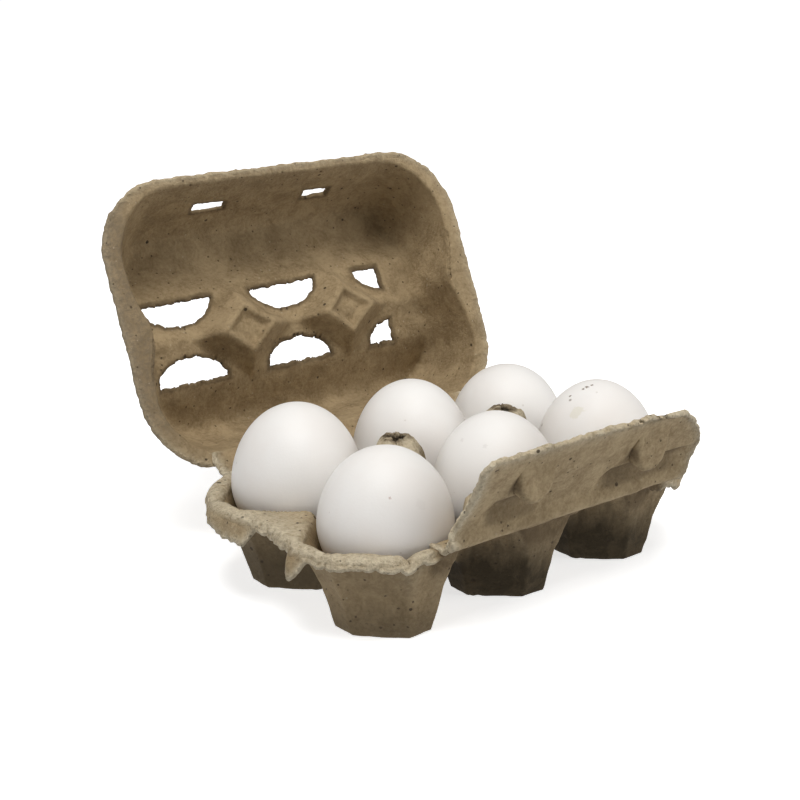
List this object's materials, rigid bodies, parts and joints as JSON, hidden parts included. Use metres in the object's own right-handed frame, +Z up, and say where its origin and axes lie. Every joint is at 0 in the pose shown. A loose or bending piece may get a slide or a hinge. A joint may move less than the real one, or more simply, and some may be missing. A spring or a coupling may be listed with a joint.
{
  "type": "egg carton",
  "caption": "Open moulded-pulp carton with eggs standing in its cups, a hinged lid with half-moon windows and a front closing flap with two knobs.",
  "frame": {"origin": "on the ground under the middle of the open carton's box", "axes": "+X along the row of three cups, +Y from the closing flap to the lid hinge, +Z up"},
  "size_m": [0.1592, 0.2003, 0.1278],
  "materials": {
    "pulp": "coarse recycled grey-brown paper pulp with dark and pale flecks",
    "eggshell": "satin white eggshell"
  },
  "bodies": {
    "tray": {"tray": "pulp", "egg_front_left": "eggshell", "egg_front_middle": "eggshell", "egg_front_right": "eggshell", "egg_back_left": "eggshell", "egg_back_middle": "eggshell", "egg_back_right": "eggshell"},
    "lid": {"lid": "pulp"},
    "flap": {"flap": "pulp"}
  },
  "joints": [
    {"name": "lid_hinge", "type": "hinge", "parent": "tray", "child": "lid", "pos_m": [0, 0.02575, 0.0294], "axis": [1, 0, 0], "range_deg": [-30, 110]},
    {"name": "flap_hinge", "type": "hinge", "parent": "tray", "child": "flap", "pos_m": [0, -0.08145, 0.0315], "axis": [1, 0, 0], "range_deg": [-56, 16]}
  ],
  "couplings": [
    {"joint": "flap_hinge", "follows": "lid_hinge", "ratio": -0.5}
  ]
}
